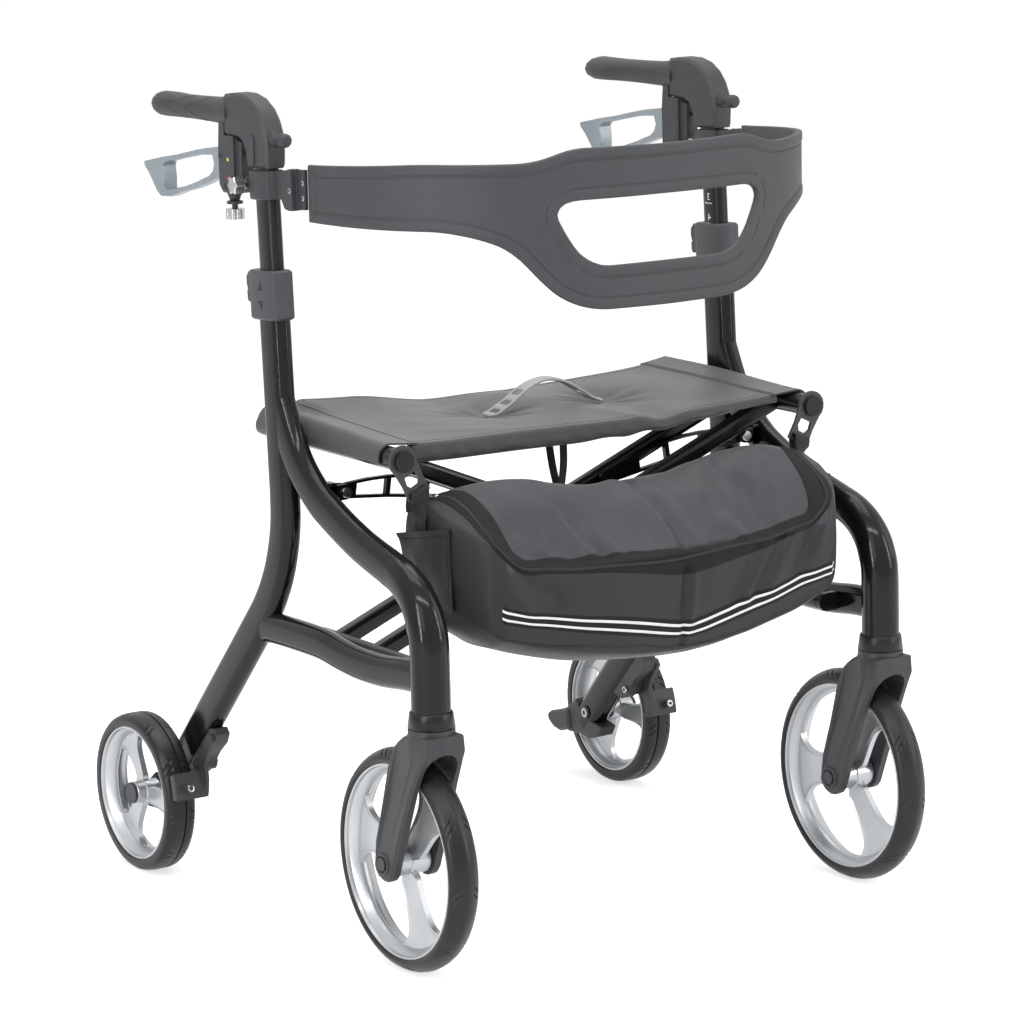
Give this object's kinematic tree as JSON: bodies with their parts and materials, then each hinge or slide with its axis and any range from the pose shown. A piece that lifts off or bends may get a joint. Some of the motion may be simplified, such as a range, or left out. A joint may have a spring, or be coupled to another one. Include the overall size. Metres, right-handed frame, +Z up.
{
  "type": "rollator",
  "caption": "Wide folding rollator with large front casters, scissor cross-brace, cloth seat, front bag, bowed backrest band and loop brakes.",
  "frame": {"origin": "on the floor in the middle of the footprint", "axes": "+Z up, +Y towards the user at the rear, casters at -Y, +X to the left of the user"},
  "size_m": [0.7334, 0.7673, 0.9535],
  "materials": {
    "frame_black": "gloss",
    "brace_black": "semi-gloss",
    "post_black": "satin",
    "clamp_grey": "satin",
    "moulding_dark": "satin",
    "grip_rubber": "matte",
    "lever_grey": "satin",
    "bright_metal": "polished",
    "cable_black": "satin",
    "tyre_black": "satin",
    "rim_silver": "satin",
    "seat_fabric": "satin nylon",
    "strap_grey": "satin",
    "bag_fabric": "satin nylon",
    "backrest_skin": "satin, bound edges"
  },
  "bodies": {
    "right_frame": {"right_rear_leg": "frame_black", "right_front_leg": "frame_black", "right_side_rail": "frame_black", "right_pivot_rod": "brace_black", "right_height_clamp": "clamp_grey", "right_rear_foot": "moulding_dark", "right_brake_bracket": "moulding_dark", "right_rear_axle": "bright_metal"},
    "cross_a": {"cross_member_a": "brace_black"},
    "cross_b": {"cross_member_b": "brace_black"},
    "left_frame": {"left_rear_leg": "frame_black", "left_front_leg": "frame_black", "left_side_rail": "frame_black", "left_pivot_rod": "brace_black", "left_height_clamp": "clamp_grey", "left_rear_foot": "moulding_dark", "left_brake_bracket": "moulding_dark", "left_rear_axle": "bright_metal"},
    "right_link": {"right_truss_link": "brace_black"},
    "left_link": {"left_truss_link": "brace_black"},
    "seat_level": {"seat_cloth": "seat_fabric", "pull_strap": "strap_grey", "bag": "bag_fabric", "right_bag_hanger": "moulding_dark"},
    "left_hanger": {"left_bag_hanger": "moulding_dark"},
    "right_slide": {"right_height_post": "post_black", "right_handle_arch": "moulding_dark", "right_hand_grip": "grip_rubber", "right_brake_housing": "moulding_dark", "right_brake_cable": "cable_black", "right_back_bracket": "moulding_dark", "backrest_band": "backrest_skin"},
    "right_brake_lever": {"right_brake_lever": "lever_grey"},
    "right_brake_shoe": {"right_brake_shoe": "moulding_dark"},
    "right_clamp_lever": {"right_clamp_lever": "clamp_grey"},
    "right_star_screw": {"right_star_screw": "bright_metal"},
    "right_cable_adjuster": {"right_cable_adjuster": "bright_metal"},
    "right_fork": {"right_fork": "moulding_dark", "right_front_axle": "bright_metal"},
    "right_front_wheel": {"right_front_tyre": "tyre_black", "right_front_rim": "rim_silver"},
    "right_rear_wheel": {"right_rear_tyre": "tyre_black", "right_rear_rim": "rim_silver"},
    "left_slide": {"left_height_post": "post_black", "left_handle_arch": "moulding_dark", "left_hand_grip": "grip_rubber", "left_brake_housing": "moulding_dark", "left_brake_cable": "cable_black", "left_back_bracket": "moulding_dark"},
    "left_brake_lever": {"left_brake_lever": "lever_grey"},
    "left_brake_shoe": {"left_brake_shoe": "moulding_dark"},
    "left_clamp_lever": {"left_clamp_lever": "clamp_grey"},
    "left_star_screw": {"left_star_screw": "bright_metal"},
    "left_cable_adjuster": {"left_cable_adjuster": "bright_metal"},
    "left_fork": {"left_fork": "moulding_dark", "left_front_axle": "bright_metal"},
    "left_front_wheel": {"left_front_tyre": "tyre_black", "left_front_rim": "rim_silver"},
    "left_rear_wheel": {"left_rear_tyre": "tyre_black", "left_rear_rim": "rim_silver"}
  },
  "joints": [
    {"name": "fold", "type": "hinge", "parent": "right_frame", "child": "cross_a", "pos_m": [-0.2803, -0.141, 0.336], "axis": [0, -1, 0], "range_deg": [0, 44], "deforming": ["seat_cloth", "pull_strap", "bag", "backrest_band"]},
    {"name": "brace_scissor", "type": "hinge", "parent": "cross_a", "child": "cross_b", "pos_m": [0, -0.141, 0.45115], "axis": [0, -1, 0], "range_deg": [-88, 0]},
    {"name": "left_frame_fold", "type": "hinge", "parent": "cross_b", "child": "left_frame", "pos_m": [0.2803, -0.141, 0.336], "axis": [0, -1, 0], "range_deg": [0, 44]},
    {"name": "right_link_fold", "type": "hinge", "parent": "right_frame", "child": "right_link", "pos_m": [-0.2803, -0.0877, 0.5127], "axis": [0, -1, 0], "range_deg": [0, 72.6]},
    {"name": "left_link_fold", "type": "hinge", "parent": "left_frame", "child": "left_link", "pos_m": [0.2803, -0.0823, 0.5127], "axis": [0, -1, 0], "range_deg": [-72.6, 0]},
    {"name": "seat_level_fold", "type": "hinge", "parent": "cross_b", "child": "seat_level", "pos_m": [-0.2803, -0.141, 0.5663], "axis": [0, -1, 0], "range_deg": [0, 44]},
    {"name": "left_hanger_fold", "type": "hinge", "parent": "cross_a", "child": "left_hanger", "pos_m": [0.2803, -0.22, 0.5663], "axis": [0, -1, 0], "range_deg": [-44, 0]},
    {"name": "right_height", "type": "slide", "parent": "right_frame", "child": "right_slide", "axis": [0, 0.0523, 0.9986], "range_m": [-0.0745, 0.0508]},
    {"name": "right_brake_squeeze", "type": "hinge", "parent": "right_slide", "child": "right_brake_lever", "pos_m": [-0.3087, 0.091, 0.878], "axis": [1, 0, 0], "range_deg": [-15, 12], "stiffness_Nm_per_rad": 10, "springref_deg": 0.74},
    {"name": "right_shoe_swing", "type": "hinge", "parent": "right_frame", "child": "right_brake_shoe", "pos_m": [-0.3216, 0.199, 0.143], "axis": [1, 0, 0], "range_deg": [-5, 4]},
    {"name": "right_clamp_release", "type": "hinge", "parent": "right_frame", "child": "right_clamp_lever", "pos_m": [-0.3087, 0.04176, 0.72203], "axis": [-1, 0, 0], "range_deg": [0, 25], "stiffness_Nm_per_rad": 0.3, "springref_deg": -11.46},
    {"name": "right_star_turn", "type": "hinge", "parent": "right_slide", "child": "right_star_screw", "pos_m": [-0.3087, 0.04105, 0.85175], "axis": [1, 0, 0], "continuous": true},
    {"name": "right_adjuster_turn", "type": "hinge", "parent": "right_slide", "child": "right_cable_adjuster", "pos_m": [-0.3087, 0.086, 0.823], "axis": [0, 0, 1], "continuous": true},
    {"name": "right_caster_swivel", "type": "hinge", "parent": "right_frame", "child": "right_fork", "pos_m": [-0.3087, -0.3135, 0.288], "axis": [0, 0, 1], "continuous": true},
    {"name": "right_front_roll", "type": "hinge", "parent": "right_fork", "child": "right_front_wheel", "pos_m": [-0.3087, -0.2572, 0.12639], "axis": [1, 0, 0], "continuous": true},
    {"name": "right_rear_roll", "type": "hinge", "parent": "right_frame", "child": "right_rear_wheel", "pos_m": [-0.3467, 0.2876, 0.09613], "axis": [1, 0, 0], "continuous": true},
    {"name": "left_height", "type": "slide", "parent": "left_frame", "child": "left_slide", "axis": [0, 0.0523, 0.9986], "range_m": [-0.0745, 0.0508]},
    {"name": "left_brake_squeeze", "type": "hinge", "parent": "left_slide", "child": "left_brake_lever", "pos_m": [0.3087, 0.091, 0.878], "axis": [1, 0, 0], "range_deg": [-15, 12], "stiffness_Nm_per_rad": 10, "springref_deg": 0.74},
    {"name": "left_shoe_swing", "type": "hinge", "parent": "left_frame", "child": "left_brake_shoe", "pos_m": [0.3216, 0.199, 0.143], "axis": [1, 0, 0], "range_deg": [-5, 4]},
    {"name": "left_clamp_release", "type": "hinge", "parent": "left_frame", "child": "left_clamp_lever", "pos_m": [0.3087, 0.04176, 0.72203], "axis": [-1, 0, 0], "range_deg": [0, 25], "stiffness_Nm_per_rad": 0.3, "springref_deg": -11.46},
    {"name": "left_star_turn", "type": "hinge", "parent": "left_slide", "child": "left_star_screw", "pos_m": [0.3087, 0.04105, 0.85175], "axis": [1, 0, 0], "continuous": true},
    {"name": "left_adjuster_turn", "type": "hinge", "parent": "left_slide", "child": "left_cable_adjuster", "pos_m": [0.3087, 0.086, 0.823], "axis": [0, 0, 1], "continuous": true},
    {"name": "left_caster_swivel", "type": "hinge", "parent": "left_frame", "child": "left_fork", "pos_m": [0.3087, -0.3135, 0.288], "axis": [0, 0, 1], "continuous": true},
    {"name": "left_front_roll", "type": "hinge", "parent": "left_fork", "child": "left_front_wheel", "pos_m": [0.3087, -0.2572, 0.12639], "axis": [1, 0, 0], "continuous": true},
    {"name": "left_rear_roll", "type": "hinge", "parent": "left_frame", "child": "left_rear_wheel", "pos_m": [0.3467, 0.2876, 0.09613], "axis": [1, 0, 0], "continuous": true}
  ],
  "couplings": [
    {"joint": "brace_scissor", "follows": "fold", "ratio": -2},
    {"joint": "left_frame_fold", "follows": "fold", "ratio": 1},
    {"joint": "right_link_fold", "follows": "fold", "ratio": 1.65},
    {"joint": "left_link_fold", "follows": "fold", "ratio": -1.65},
    {"joint": "seat_level_fold", "follows": "fold", "ratio": 1},
    {"joint": "left_hanger_fold", "follows": "fold", "ratio": -1},
    {"joint": "right_shoe_swing", "follows": "right_brake_squeeze", "ratio": 0.33333},
    {"joint": "left_shoe_swing", "follows": "left_brake_squeeze", "ratio": 0.33333},
    {"joint": "left_height", "follows": "right_height", "ratio": 1}
  ]
}
